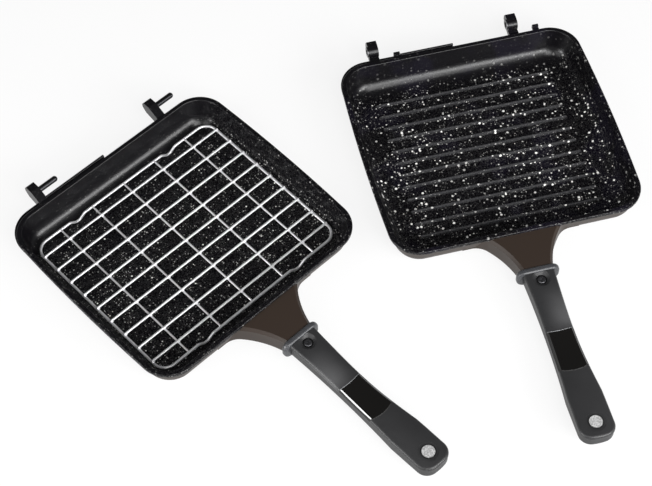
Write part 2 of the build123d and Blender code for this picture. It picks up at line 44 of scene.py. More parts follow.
# where each half lies: its place and its turn about the upright axis
halves = {
    "rack_half": (Vector((0, 0, 0)), 0.0),
    "ridge_half": (Vector((282.6 * mm, -122.6 * mm, 0)), np.radians(-29.76)),
}


def hexToLinear(code):   # sRGB hex text to linear red, green, blue and an alpha of 1
    parts = np.array([int(code[i:i + 2], 16) for i in (1, 3, 5)]) / 255
    low = parts / 12.92
    high = ((parts + 0.055) / 1.055) ** 2.4
    return (*np.where(parts <= 0.04045, low, high).tolist(), 1.0)


def addNode(tree, kind, settings, inputs=None):   # a node, its settings, and a value or link per input
    node = tree.nodes.new(kind)
    for key, value in settings.items():
        setattr(node, key, value)
    for key, value in (inputs or {}).items():
        if isinstance(value, bpy.types.NodeSocket):
            tree.links.new(value, node.inputs[key])
        else:
            node.inputs[key].default_value = value
    return node


def startMaterial(name):   # an empty material and its node tree
    material = bpy.data.materials.new(name)
    material.use_nodes = True
    material.node_tree.nodes.clear()
    return material, material.node_tree


def finishMaterial(tree, inputs):   # the principled shader that everything before it feeds
    shader = addNode(tree, "ShaderNodeBsdfPrincipled", {}, inputs)
    addNode(tree, "ShaderNodeOutputMaterial", {}, {"Surface": shader.outputs[0]})


def onHalf(tree, spot, half):   # object coordinates, moved and turned to a half's own axes
    place, turn = halves[half]
    back = Matrix.Rotation(-turn, 3, "Z") @ -place
    return addNode(tree, "ShaderNodeMapping", {}, {
        "Vector": spot.outputs["Object"], "Location": tuple(back), "Rotation": (0, 0, -turn)}).outputs[0]


def fromMagnet(tree, where):   # level distance from the magnet's axis
    offset = addNode(tree, "ShaderNodeVectorMath", {"operation": "SUBTRACT"},
                     {0: where, 1: (0, magnetAt, 0)})
    level = addNode(tree, "ShaderNodeVectorMath", {"operation": "MULTIPLY"},
                    {0: offset.outputs[0], 1: (1, 1, 0)})
    return addNode(tree, "ShaderNodeVectorMath", {"operation": "LENGTH"},
                   {0: level.outputs[0]}).outputs["Value"]


def paint(node, material):
    nodes[node].data.materials.clear()
    nodes[node].data.materials.append(material)


smooth = {"interpolation_type": "SMOOTHSTEP"}   # of a range with soft ends

# the coat, and where its two colours meet
coatLook = {
    "black": "#0b0a0d",             # inside and on the rim
    "brown": "#312822",             # outside and on the neck
    "violet": "#100e17",            # a faint cast of some patches
    "violetRange": (0.5, 0.66),     # the patch noise at which the cast starts and is full
    "blackRoughness": 0.28,
    "brownRoughness": 0.42,
    "reflection": 1.38,             # index of refraction
    "floorSheen": 0.74,             # how much it shines on the floor, where it was sprayed thick
    "wallSheen": 0.62,              # on the wall at the hinge
    "outsideSheen": 0.5,
    "pits": 1.3 * mm,               # matt pits between the sprayed grains
    "pitRange": (0.42, 0.6),        # the noise at which a pit is deepest and ends
    "pitSheen": 0.04,               # how much shine is left in them
    "grain": 0.9 * mm,              # orange peel, drawn about twice as coarse as it is, to show
    "grainDepth": 0.05 * mm,
    "grainStrength": 0.3,
    "edgeRound": 0.35 * mm,
    "seenFrom": 9 * rimTop,         # what faces away from a point this high is outside
    "lip": 3.25 * mm,               # the black comes this far down over the rim
    "neckGap": 0.15 * mm,           # the brown of the neck starts this far past the rim
    "hingeBand": 2.6 * mm,          # the hinge parts and this much of the rim are all black
}
# stone flecks, in layers from fine to bold: the spacing of the cells, a dot's largest radius, the
# share of cells that carry a dot, and how white it is
rackFlecks = [
    {"cell": 1.1 * mm, "radius": 0.6 * mm, "share": 0.7, "strength": 0.055},
    {"cell": 1.9 * mm, "radius": 0.75 * mm, "share": 0.6, "strength": 0.5},
    {"cell": 4.2 * mm, "radius": 0.95 * mm, "share": 0.45, "strength": 1.0},
]
ridgeFlecks = [
    {"cell": 1.2 * mm, "radius": 0.7 * mm, "share": 0.7, "strength": 0.055},
    {"cell": 2.0 * mm, "radius": 0.85 * mm, "share": 0.5, "strength": 0.33},
    {"cell": 3.9 * mm, "radius": 1.5 * mm, "share": 0.55, "strength": 1.0},
]
fleckLook = {
    "colour": "#fbfaf6",
    "tearSize": 1.2 * mm,           # their outlines are torn by noise of this size
    "tearReach": 0.9 * mm,          # and by this much
    "softEdge": 0.2,                # of their radius
    "shift": (0.37, 0.11, 0),       # metres from one layer to the next, so that none line up
    "patch": 38 * mm,               # they fell thicker and thinner in patches
    "patchRange": (0.3, 0.55),
    "thinnest": 0.35,
    "fadeFrom": 84 * mm,            # the spray thins out towards the wall at the hinge
    "fadeTo": 100 * mm,
    "fadeLeft": 0.14,
    "wallFrom": 3 * mm,             # and up the walls, from this height over the floor
    "wallTo": 16 * mm,
    "wallLeft": 0.33,
}
# ridge tops and flanks painted paler, as a painted highlight
ridgeHighlightLook = {
    "top": "#3c3c3e",
    "flank": "#28282a",
    "box": (92 * mm, 84 * mm, floorTop + 2.3 * mm),   # half its width and depth, and its top
    "foot": (0.1 * mm, 0.8 * mm),   # over the floor: where a flank starts and is fully painted pale
    "crest": (1.7 * mm, 2.1 * mm),  # and where the top starts
}


# 1 on the brown: all that faces away from a point high over the tray, up to just under the
# rim, and the neck, but not the hinge parts.
def brownShare(tree, spot, axes, half):
    above = halves[half][0] + Vector((0, 0, coatLook["seenFrom"]))
    upwards = addNode(tree, "ShaderNodeVectorMath", {"operation": "SUBTRACT"},
                      {0: tuple(above), 1: spot.outputs["Object"]})
    facing = addNode(tree, "ShaderNodeVectorMath", {"operation": "DOT_PRODUCT"},
                     {0: upwards.outputs[0], 1: spot.outputs["Normal"]})
    away, low, neck, ahead = [
        addNode(tree, "ShaderNodeMath", {"operation": "LESS_THAN"}, {0: value, 1: limit}).outputs[0]
        for value, limit in (
            (facing.outputs["Value"], 0.0), (axes["Z"], rimTop - coatLook["lip"]),
            (axes["Y"], -rimReach - coatLook["neckGap"]), (axes["Y"], rimReach - coatLook["hingeBand"]))]
    outside = addNode(tree, "ShaderNodeMath", {"operation": "MINIMUM"}, {0: away, 1: low})
    either = addNode(tree, "ShaderNodeMath", {"operation": "MAXIMUM"}, {0: outside.outputs[0], 1: neck})
    return addNode(tree, "ShaderNodeMath", {"operation": "MINIMUM"},
                   {0: either.outputs[0], 1: ahead}).outputs[0]


# How much of a spot the flecks cover: in each layer a share of random cells carry a ragged dot
# of random size, and the strongest layer counts.
def fleckCover(tree, where, flecks):
    look = fleckLook
    ragged = addNode(tree, "ShaderNodeTexNoise", {}, {
        "Vector": where, "Scale": 1 / look["tearSize"], "Detail": 1.0})
    shove = addNode(tree, "ShaderNodeVectorMath", {"operation": "SCALE"},
                    {0: ragged.outputs["Color"], "Scale": look["tearReach"]})
    torn = addNode(tree, "ShaderNodeVectorMath", {"operation": "ADD"}, {0: where, 1: shove.outputs[0]})
    cover = 0.0
    for order, fleck in enumerate(flecks):
        shifted = addNode(tree, "ShaderNodeVectorMath", {"operation": "ADD"}, {
            0: torn.outputs[0], 1: tuple(order * step for step in look["shift"])})
        cells = addNode(tree, "ShaderNodeTexVoronoi", {},
                        {"Vector": shifted.outputs[0], "Scale": 1 / fleck["cell"]})
        draw = addNode(tree, "ShaderNodeSeparateColor", {}, {0: cells.outputs["Color"]})
        reach = fleck["radius"] / fleck["cell"]
        size = addNode(tree, "ShaderNodeMapRange", {}, {
            "Value": draw.outputs[0], "From Min": 1 - fleck["share"], "To Max": reach})
        depth = addNode(tree, "ShaderNodeMath", {"operation": "SUBTRACT"},
                        {0: size.outputs[0], 1: cells.outputs["Distance"]})
        dots = addNode(tree, "ShaderNodeMapRange", smooth, {
            "Value": depth.outputs[0], "From Max": look["softEdge"] * reach, "To Max": fleck["strength"]})
        cover = addNode(tree, "ShaderNodeMath", {"operation": "MAXIMUM"},
                        {0: cover, 1: dots.outputs[0]}).outputs[0]
    return cover


# The black, with a painted highlight on the ridges: they stand over the floor inside a box that stops
# short of the walls, and their tops are painted paler than their flanks.
def paintedRidgeHighlights(tree, where, height, black):
    absolute = addNode(tree, "ShaderNodeVectorMath", {"operation": "ABSOLUTE"}, {0: where})
    beyond = addNode(tree, "ShaderNodeVectorMath", {"operation": "SUBTRACT"},
                     {0: absolute.outputs[0], 1: ridgeHighlightLook["box"]})
    overX, overY, overZ = addNode(tree, "ShaderNodeSeparateXYZ", {}, {0: beyond.outputs[0]}).outputs
    widest = addNode(tree, "ShaderNodeMath", {"operation": "MAXIMUM"}, {0: overX, 1: overY})
    widest = addNode(tree, "ShaderNodeMath", {"operation": "MAXIMUM"}, {0: widest.outputs[0], 1: overZ})
    within = addNode(tree, "ShaderNodeMath", {"operation": "LESS_THAN"}, {0: widest.outputs[0], 1: 0.0})
    footStart, footEnd = ridgeHighlightLook["foot"]
    risen = addNode(tree, "ShaderNodeMapRange", smooth, {
        "Value": height, "From Min": floorTop + footStart, "From Max": floorTop + footEnd})
    onRidge = addNode(tree, "ShaderNodeMath", {"operation": "MULTIPLY"},
                      {0: risen.outputs[0], 1: within.outputs[0]})
    crestStart, crestEnd = ridgeHighlightLook["crest"]
    crest = addNode(tree, "ShaderNodeMapRange", {}, {
        "Value": height, "From Min": floorTop + crestStart, "From Max": floorTop + crestEnd})
    # painted highlight: paler on the tops than on the flanks
    ridgeHighlight = addNode(tree, "ShaderNodeMix", {"data_type": "RGBA"}, {
        0: crest.outputs[0], 6: hexToLinear(ridgeHighlightLook["flank"]), 7: hexToLinear(ridgeHighlightLook["top"])})
    return addNode(tree, "ShaderNodeMix", {"data_type": "RGBA"}, {
        0: onRidge.outputs[0], 6: black, 7: ridgeHighlight.outputs[2]}).outputs[2]


# Cast aluminium with a sprayed PTFE coat: satin black with stone flecks, so it shows broad
# soft highlights and no colour of its own; outside, a satin brown high-temperature enamel.
def sprayedCoat(name, half, flecks, ridged):
    material, tree = startMaterial(name)
    spot = addNode(tree, "ShaderNodeTexCoord", {})
    where = onHalf(tree, spot, half)
    axes = addNode(tree, "ShaderNodeSeparateXYZ", {}, {0: where}).outputs
    brown = brownShare(tree, spot, axes, half)
    inside = addNode(tree, "ShaderNodeMath", {"operation": "SUBTRACT"}, {0: 1.0, 1: brown})
    patches = addNode(tree, "ShaderNodeTexNoise", {}, {
        "Vector": where, "Scale": 1 / fleckLook["patch"], "Detail": 2.0})
    patchStart, patchEnd = fleckLook["patchRange"]
    patchy = addNode(tree, "ShaderNodeMapRange", smooth, {
        "Value": patches.outputs[0], "From Min": patchStart, "From Max": patchEnd,
        "To Min": fleckLook["thinnest"]})
    sprayed = addNode(tree, "ShaderNodeMapRange", smooth, {
        "Value": axes["Y"], "From Min": fleckLook["fadeFrom"], "From Max": fleckLook["fadeTo"],
        "To Min": 1.0, "To Max": fleckLook["fadeLeft"]})
    caught = addNode(tree, "ShaderNodeMapRange", smooth, {
        "Value": axes["Z"], "From Min": floorTop + fleckLook["wallFrom"],
        "From Max": floorTop + fleckLook["wallTo"], "To Min": 1.0, "To Max": fleckLook["wallLeft"]})
    cover = fleckCover(tree, where, flecks)
    for factor in (caught, patchy, sprayed, inside):
        cover = addNode(tree, "ShaderNodeMath", {"operation": "MULTIPLY"},
                        {0: cover, 1: factor.outputs[0]}).outputs[0]

    black = hexToLinear(coatLook["black"])
    if ridged:
        castStart, castEnd = coatLook["violetRange"]
        cast = addNode(tree, "ShaderNodeMapRange", smooth, {
            "Value": patches.outputs[0], "From Min": castStart, "From Max": castEnd})
        black = addNode(tree, "ShaderNodeMix", {"data_type": "RGBA"}, {
            0: cast.outputs[0], 6: black, 7: hexToLinear(coatLook["violet"])}).outputs[2]
        black = paintedRidgeHighlights(tree, where, axes["Z"], black)
    ground = addNode(tree, "ShaderNodeMix", {"data_type": "RGBA"},
                     {0: brown, 6: black, 7: hexToLinear(coatLook["brown"])})
    colour = addNode(tree, "ShaderNodeMix", {"data_type": "RGBA"},
                     {0: cover, 6: ground.outputs[2], 7: hexToLinear(fleckLook["colour"])})

    pits = addNode(tree, "ShaderNodeTexNoise", {}, {
        "Vector": where, "Scale": 1 / coatLook["pits"], "Detail": 2.0, "Roughness": 0.7})
    pitStart, pitEnd = coatLook["pitRange"]
    pitted = addNode(tree, "ShaderNodeMapRange", {}, {
        "Value": pits.outputs[0], "From Min": pitStart, "From Max": pitEnd,
        "To Min": coatLook["pitSheen"], "To Max": coatLook["floorSheen"]})
    sheen = addNode(tree, "ShaderNodeMix", {},
                    {0: sprayed.outputs[0], 2: coatLook["wallSheen"], 3: pitted.outputs[0]})
    sheen = addNode(tree, "ShaderNodeMix", {}, {0: brown, 2: sheen.outputs[0], 3: coatLook["outsideSheen"]})
    gloss = addNode(tree, "ShaderNodeMapRange", {}, {
        "Value": brown, "To Min": coatLook["blackRoughness"], "To Max": coatLook["brownRoughness"]})
    peel = addNode(tree, "ShaderNodeTexNoise", {}, {
        "Vector": where, "Scale": 1 / coatLook["grain"], "Detail": 3.0})
    rounded = addNode(tree, "ShaderNodeBevel", {"samples": 4}, {"Radius": coatLook["edgeRound"]})
    bump = addNode(tree, "ShaderNodeBump", {}, {
        "Height": peel.outputs[0], "Strength": coatLook["grainStrength"],
        "Distance": coatLook["grainDepth"], "Normal": rounded.outputs[0]})
    finishMaterial(tree, {
        "Base Color": colour.outputs[2], "Roughness": gloss.outputs[0], "IOR": coatLook["reflection"],
        "Specular IOR Level": sheen.outputs[0], "Normal": bump.outputs[0]})
    return material


paint("rack_pan", sprayedCoat("sprayed non-stick, fine flecks", "rack_half", rackFlecks, False))
paint("ridge_pan", sprayedCoat("sprayed non-stick, bold flecks", "ridge_half", ridgeFlecks, True))
print("pan coats done")

# handle resins; the real spark-eroded grain is about 0.1 mm and is drawn coarser, to show
resinLook = {
    "cover": {"colour": "#29292a", "roughness": 0.4, "reflection": 1.45,
              "grain": 0.55 * mm, "depth": 0.04 * mm},
    "body": {"colour": "#2a2a2b", "roughness": 0.48, "reflection": 1.45,
             "grain": 0.55 * mm, "depth": 0.05 * mm},
    "guard": {"colour": "#3a3b3e", "roughness": 0.38, "reflection": 1.56,
              "grain": 0.5 * mm, "depth": 0.03 * mm},
    # the bead's pale grey is a painted highlight line
    "bead": {"colour": "#6c6d6f", "roughness": 0.3, "reflection": 1.55,
             "grain": 0.3 * mm, "depth": 0.01 * mm},
}
mouldLook = {
    "cloud": 14 * mm,               # the mould fills unevenly: slow clouds in the tone
    "cloudTone": (0.84, 1.16),
    "roughSpread": 0.07,
    "grainStrength": 0.5,
}
# a painted highlight on the cover before the inlay: paler there, on one side more than the other
coverHighlightLook = {
    "colour": "#4f4f50",
    "start": -170 * mm,             # along the handle
    "full": -211 * mm,
    "end": -227 * mm,
    "left": 0.08,                   # what is left of it beyond its end
    "half": 12 * mm,                # half its width
    "side": {"rack_half": -1, "ridge_half": 1},
}
grooveShadeLook = {"inner": 6.6 * mm, "outer": 8.2 * mm, "depth": 0.55}   # painted shade in the groove round the magnet


# Glass-filled resin, moulded in a spark-eroded tool: a fine matt grain over charcoal grey. A
# handle cover has a painted highlight before its inlay and painted shade in the groove round its
# magnet. A resin that both halves share is laid out in the rack half's axes.
def mouldedResin(name, look, half="rack_half", isCover=False):
    material, tree = startMaterial(name)
    spot = addNode(tree, "ShaderNodeTexCoord", {})
    where = onHalf(tree, spot, half)
    grain = addNode(tree, "ShaderNodeTexNoise", {}, {
        "Vector": where, "Scale": 1 / look["grain"], "Detail": 4.0})
    cloud = addNode(tree, "ShaderNodeTexNoise", {}, {
        "Vector": where, "Scale": 1 / mouldLook["cloud"], "Detail": 3.0})
    dark, pale = mouldLook["cloudTone"]
    tone = addNode(tree, "ShaderNodeMapRange", {}, {
        "Value": cloud.outputs[0], "To Min": dark, "To Max": pale})
    colour = hexToLinear(look["colour"])[:3]
    if isCover:
        # the painted highlight before the inlay, stronger on one side
        axes = addNode(tree, "ShaderNodeSeparateXYZ", {}, {0: where}).outputs
        edge = coverHighlightLook["side"][half] * coverHighlightLook["half"]
        sideways = addNode(tree, "ShaderNodeMapRange", smooth, {
            "Value": axes["X"], "From Min": -edge, "From Max": edge})
        rise = addNode(tree, "ShaderNodeMapRange", smooth, {
            "Value": axes["Y"], "From Min": coverHighlightLook["start"], "From Max": coverHighlightLook["full"]})
        fall = addNode(tree, "ShaderNodeMapRange", smooth, {
            "Value": axes["Y"], "From Min": coverHighlightLook["end"], "From Max": coverHighlightLook["full"],
            "To Min": coverHighlightLook["left"]})
        coverHighlight = rise.outputs[0]
        for factor in (sideways, fall):
            coverHighlight = addNode(tree, "ShaderNodeMath", {"operation": "MULTIPLY"},
                            {0: coverHighlight, 1: factor.outputs[0]}).outputs[0]
        colour = addNode(tree, "ShaderNodeMix", {"data_type": "RGBA"}, {
            0: coverHighlight, 6: hexToLinear(look["colour"]), 7: hexToLinear(coverHighlightLook["colour"])}).outputs[2]
        # painted shade: darker in the groove round the magnet
        groove = addNode(tree, "ShaderNodeMapRange", smooth, {
            "Value": fromMagnet(tree, where), "From Min": grooveShadeLook["inner"],
            "From Max": grooveShadeLook["outer"], "To Min": 1 - grooveShadeLook["depth"], "To Max": 1.0})
        tone = addNode(tree, "ShaderNodeMath", {"operation": "MULTIPLY"},
                       {0: tone.outputs[0], 1: groove.outputs[0]})
    tint = addNode(tree, "ShaderNodeVectorMath", {"operation": "SCALE"},
                   {0: colour, "Scale": tone.outputs[0]})
    spread = mouldLook["roughSpread"]
    rough = addNode(tree, "ShaderNodeMapRange", {}, {
        "Value": grain.outputs[0], "To Min": look["roughness"] - spread,
        "To Max": look["roughness"] + spread})
    bump = addNode(tree, "ShaderNodeBump", {}, {
        "Height": grain.outputs[0], "Strength": mouldLook["grainStrength"], "Distance": look["depth"]})
    finishMaterial(tree, {
        "Base Color": tint.outputs[0], "Roughness": rough.outputs[0],
        "IOR": look["reflection"], "Normal": bump.outputs[0]})
    return material


bodyResin = mouldedResin("moulded resin, handle body", resinLook["body"])
guardResin = mouldedResin("moulded resin, guard ring", resinLook["guard"])
for half in halves:
    coverName = "moulded resin, " + half.replace("_", " ") + " cover"
    paint(half + "_grip_cover", mouldedResin(coverName, resinLook["cover"], half, isCover=True))
    paint(half + "_grip_body", bodyResin)
    paint(half + "_guard_ring", guardResin)

inlayLook = {
    "colour": "#100f0e",
    "roughness": 0.06,
    "smear": 3 * mm,                # finger marks, which change the roughness a little
    "smearRange": (-0.03, 0.05),
    "ripple": 22 * mm,
    "rippleDepth": 0.3 * mm,
    "rippleStrength": 0.12,
    "mattRoughness": 0.65,          # its far edge and the foot of its sides are left matt
    "farEnd": -265.1 * mm,          # the far edge at the middle of the handle
    "farBow": 7 * mm,               # and how much nearer it comes at bowHalf
    "farMatt": (1.1 * mm, 0.7 * mm),   # from that edge: where the matt starts and is full
    "sideAt": 5 * mm,               # the sides' foot is matt outwards of |x| = sideAt - sideLean y
    "sideLean": 0.03,
    "sideFade": 0.15 * mm,
}


# Polished black resin: mirror-like, with the faint ripple of a moulded face.
def polishedResin(name, half):
    look = inlayLook
    material, tree = startMaterial(name)
    spot = addNode(tree, "ShaderNodeTexCoord", {})
    where = onHalf(tree, spot, half)
    axes = addNode(tree, "ShaderNodeSeparateXYZ", {}, {0: where}).outputs
    ripple = addNode(tree, "ShaderNodeTexNoise", {}, {
        "Vector": where, "Scale": 1 / look["ripple"], "Detail": 1.0})
    smear = addNode(tree, "ShaderNodeTexNoise", {}, {
        "Vector": where, "Scale": 1 / look["smear"], "Detail": 3.0})
    cleanest, dullest = look["smearRange"]
    polish = addNode(tree, "ShaderNodeMapRange", {}, {
        "Value": smear.outputs[0], "To Min": look["roughness"] + cleanest,
        "To Max": look["roughness"] + dullest})
    # the far edge is a parabola across the handle
    across = addNode(tree, "ShaderNodeMath", {"operation": "MULTIPLY"}, {0: axes["X"], 1: axes["X"]})
    bow = look["farBow"] / bowHalf ** 2
    inward = addNode(tree, "ShaderNodeMath", {"operation": "MULTIPLY_ADD"},
                     {0: across.outputs[0], 1: -bow, 2: axes["Y"]})
    farStart, farFull = look["farMatt"]
    nearEdge = addNode(tree, "ShaderNodeMapRange", smooth, {
        "Value": inward.outputs[0], "From Min": look["farEnd"] + farStart,
        "From Max": look["farEnd"] + farFull})
    sideways = addNode(tree, "ShaderNodeMath", {"operation": "ABSOLUTE"}, {0: axes["X"]})
    leaning = addNode(tree, "ShaderNodeMath", {"operation": "MULTIPLY_ADD"},
                      {0: axes["Y"], 1: look["sideLean"], 2: sideways.outputs[0]})
    nearSide = addNode(tree, "ShaderNodeMapRange", smooth, {
        "Value": leaning.outputs[0], "From Min": look["sideAt"] - look["sideFade"],
        "From Max": look["sideAt"] + look["sideFade"]})
    matt = addNode(tree, "ShaderNodeMath", {"operation": "MAXIMUM"},
                   {0: nearEdge.outputs[0], 1: nearSide.outputs[0]})
    rough = addNode(tree, "ShaderNodeMix", {},
                    {0: matt.outputs[0], 2: polish.outputs[0], 3: look["mattRoughness"]})
    bump = addNode(tree, "ShaderNodeBump", {}, {
        "Height": ripple.outputs[0], "Strength": look["rippleStrength"], "Distance": look["rippleDepth"]})
    finishMaterial(tree, {
        "Base Color": hexToLinear(look["colour"]), "Roughness": rough.outputs[0], "Normal": bump.outputs[0]})
    return material


for half in halves:
    inlayName = "polished resin, " + half.replace("_", " ") + " inlay"
    paint(half + "_gloss_inlay", polishedResin(inlayName, half))
print("handle resins done")


# Rings of points joined by quads into one smooth piece. With ringsEach, the rings are several
# closed surfaces of that many rings. An end ring of equal points becomes a pole.
def tubePiece(name, body, points, ringsEach=None):
    rings, sides = points.shape[:2]
    starts = np.arange(rings - 1)
    starts = starts[(starts + 1) % (ringsEach or rings) != 0]
    row, column = np.meshgrid(starts, np.arange(sides), indexing="ij")
    after = (column + 1) % sides
    quads = np.stack([row * sides + column, row * sides + after,
                      (row + 1) * sides + after, (row + 1) * sides + column], axis=-1)
    mesh = bpy.data.meshes.new(name)
    mesh.from_pydata(points.reshape(-1, 3).tolist(), [], quads.reshape(-1, 4).tolist())
    closing = bmesh.new()
    closing.from_mesh(mesh)
    bmesh.ops.remove_doubles(closing, verts=closing.verts, dist=0.001 * mm)
    bmesh.ops.recalc_face_normals(closing, faces=closing.faces)
    closing.to_mesh(mesh)
    closing.free()
    mesh.polygons.foreach_set("use_smooth", [True] * len(mesh.polygons))
    piece = bpy.data.objects.new(name, mesh)
    bpy.context.scene.collection.objects.link(piece)
    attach(piece, body)
    return piece


beadLook = {
    "radius": 0.42 * mm,
    "sunk": 0.12 * mm,         # how deep its middle lies in the cover
    "ends": -220 * mm,         # along the handle, where its arc would be at bowHalf
    "bow": 2.9 * mm,           # and how much further out its middle is
    "reach": 12.6 * mm,        # half its length across the handle
    "taper": 0.25,             # the smaller, the blunter its ends
    "steps": 40,
    "sides": 12,
}


# A moulded bead, painted pale as a highlight, that finishes the cover's edge at the inlay: a circle
# swept along a parabola across the handle, which is laid on the cover's top and sunk a little.
def inlayBead(half):
    look = beadLook
    place, turn = halves[half]
    spin = Matrix.Rotation(turn, 3, "Z")
    mesh = nodes[half + "_grip_cover"].data
    cover = BVHTree.FromPolygons([v.co for v in mesh.vertices], [p.vertices for p in mesh.polygons])
    across = np.linspace(-look["reach"], look["reach"], look["steps"])
    along = look["ends"] - look["bow"] + look["bow"] * (across / bowHalf) ** 2 + look["radius"]
    centres = []
    for u, v in zip(across, along):   # dropped on the cover from above
        high = spin @ Vector((u, v, 2 * rimTop)) + place
        hit = cover.ray_cast(high, Vector((0, 0, -1)))[0]
        centres.append((hit.x, hit.y, hit.z - look["sunk"]))
    centres = np.array(centres)
    run = np.gradient(centres, axis=0)
    run /= np.linalg.norm(run, axis=1)[:, None]
    up = np.array([0, 0, 1.0])
    side = np.cross(run, up)
    side /= np.linalg.norm(side, axis=1)[:, None]
    angle = np.linspace(0, 2 * np.pi, look["sides"], endpoint=False)
    taper = np.abs(np.sin(np.linspace(0, np.pi, look["steps"]))) ** look["taper"]
    taper[[0, -1]] = 0
    ring = side[:, None] * np.cos(angle)[:, None] + up * np.sin(angle)[:, None]
    points = centres[:, None] + look["radius"] * taper[:, None, None] * ring
    return tubePiece(half + "_inlay_bead", half, points)


# the bead's resin is painted pale, as a highlight
beadResin = mouldedResin("moulded resin, pale as a painted highlight", resinLook["bead"])
for half in halves:
    inlayBead(half).data.materials.append(beadResin)
print("inlay beads done")

# metallic is under 1 where a pale plating scatters light, so that it stays bright in a dim room
metalLook = {
    "wire": {"colour": "#e6e6e8", "roughness": 0.34, "metallic": 0.62, "grain": 0.8 * mm, "depth": 0.02 * mm},
    "magnet": {"colour": "#bebebe", "roughness": 0.5, "metallic": 0.35, "grain": 1.2 * mm, "depth": 0.2 * mm,
               "wear": 0.4, "rim": 5.75 * mm},
    "screw": {"colour": "#666669", "roughness": 0.42, "grain": 0.5 * mm, "depth": 0.05 * mm, "wear": 0.3},
    "pin": {"colour": "#3a3a3c", "roughness": 0.34, "grain": 0.6 * mm, "depth": 0.02 * mm},
    "bush": {"colour": "#6a6a6c", "roughness": 0.34, "grain": 0.5 * mm, "depth": 0.02 * mm},
}
steelLook = {
    "wear": 0.1,                    # how much the tone varies, where a metal has no value of its own
    "wearRange": (0.35, 0.65),      # the grain noise from worn to clean
    "roughRange": (0.75, 1.35),
    "grainStrength": 0.4,
    "rimFade": 0.3 * mm,            # past a magnet's rim, its colour falls to almost black over this width
    "rimTone": 0.06,
}


# Steel, plated or blackened: its colour is its reflection, broken by fine wear and tool grain,
# which is drawn coarser than it is, to show. A magnet has a dull dark rim.
def platedSteel(name, look, half="rack_half"):
    material, tree = startMaterial(name)
    spot = addNode(tree, "ShaderNodeTexCoord", {})
    where = onHalf(tree, spot, half)
    grain = addNode(tree, "ShaderNodeTexNoise", {}, {
        "Vector": spot.outputs["Object"], "Scale": 1 / look["grain"], "Detail": 3.0})
    wear = look.get("wear", steelLook["wear"])
    worn, clean = steelLook["wearRange"]
    tone = addNode(tree, "ShaderNodeMapRange", {}, {
        "Value": grain.outputs[0], "From Min": worn, "From Max": clean,
        "To Min": 1 - wear, "To Max": 1 + wear / 2})
    tint = addNode(tree, "ShaderNodeVectorMath", {"operation": "SCALE"},
                   {0: hexToLinear(look["colour"])[:3], "Scale": tone.outputs[0]})
    if "rim" in look:
        face = addNode(tree, "ShaderNodeMapRange", {}, {
            "Value": fromMagnet(tree, where), "From Min": look["rim"],
            "From Max": look["rim"] + steelLook["rimFade"], "To Min": 1.0, "To Max": steelLook["rimTone"]})
        tint = addNode(tree, "ShaderNodeVectorMath", {"operation": "SCALE"},
                       {0: tint.outputs[0], "Scale": face.outputs[0]})
    smoothest, roughest = steelLook["roughRange"]
    rough = addNode(tree, "ShaderNodeMapRange", {}, {
        "Value": grain.outputs[0], "To Min": look["roughness"] * smoothest,
        "To Max": look["roughness"] * roughest})
    bump = addNode(tree, "ShaderNodeBump", {}, {
        "Height": grain.outputs[0], "Strength": steelLook["grainStrength"], "Distance": look["depth"]})
    finishMaterial(tree, {
        "Base Color": tint.outputs[0], "Metallic": look.get("metallic", 1.0),
        "Roughness": rough.outputs[0], "Normal": bump.outputs[0]})
    return material


chromeWire = platedSteel("chromed steel wire", metalLook["wire"])
blackScrew = platedSteel("blackened steel screw", metalLook["screw"])
darkPin = platedSteel("dark coated steel pin", metalLook["pin"])
satinBush = platedSteel("satin steel bush", metalLook["bush"])
for half in halves:
    magnetName = "nickel plate, " + half.replace("_", " ") + " magnet"
    paint(half + "_magnet", platedSteel(magnetName, metalLook["magnet"], half))
    paint(half + "_handle_screw", blackScrew)
for side in ("left", "right"):
    paint("hinge_pin_" + side, darkPin)
    paint("hinge_bush_" + side, satinBush)
for wires in ("rack_frame", "rack_cross_wires", "rack_stay_wires"):
    paint(wires, chromeWire)

weldLook = {
    "stayPitch": 38.7 * mm,    # five stay wires
    "crossPitch": 19.5 * mm,   # nine cross wires over them
    "frameSide": 107.3 * mm,   # where the cross wires meet the frame
    "height": 11.15 * mm,
    "reach": 1.75 * mm,
    "lobes": 0.22,             # how far the four corners stand out, as a share of the reach
    "thick": 0.5 * mm,         # over and under the height
    "around": 16,
    "rings": 7,
}


# Spot-weld nuggets: where two wires cross, metal squeezed out into the four corners between
# them. Round the crossing the radius is r(u) = reach (1 - lobes cos 4u), and each ring rises
# and shrinks as an ellipse: (r(u) cos v, thick sin v).
def weldNuggets(name):
    look = weldLook
    u = np.linspace(0, 2 * np.pi, look["around"], endpoint=False)
    v = np.linspace(-np.pi / 2, np.pi / 2, look["rings"])[:, None]
    reach = look["reach"] * (1 - look["lobes"] * np.cos(4 * u)) * np.cos(v)
    rings = np.stack([reach * np.cos(u), reach * np.sin(u), look["thick"] * np.sin(v) + 0 * u], axis=-1)
    across = np.append(look["stayPitch"] * np.arange(-2, 3), (-look["frameSide"], look["frameSide"]))
    along = look["crossPitch"] * np.arange(-4, 5)
    spots = np.stack(np.meshgrid(across, along, look["height"], indexing="ij"), axis=-1).reshape(-1, 1, 1, 3)
    points = (spots + rings).reshape(-1, look["around"], 3)
    return tubePiece(name, "rack", points, ringsEach=look["rings"])


weldNuggets("weld_nuggets").data.materials.append(chromeWire)
print("rack, hinge and metals done")

studio = {
    "floorColour": "#f7f7f7",
    "floorHalf": 4.0,          # metres
    "cameraWhite": 0.84,       # how far the camera sees the floor as plain white
    "surround": 0.09,          # brightness of the room
    "wallTop": 0.14,           # how high the white wall reaches, as the sine of its elevation
    "wallFade": 0.05,
}
panMiddle = Vector((0.13, -0.1, 0.02))      # between the two halves
inlaySpot = Vector((0, -0.243, 0.027))      # on the rack half's inlay
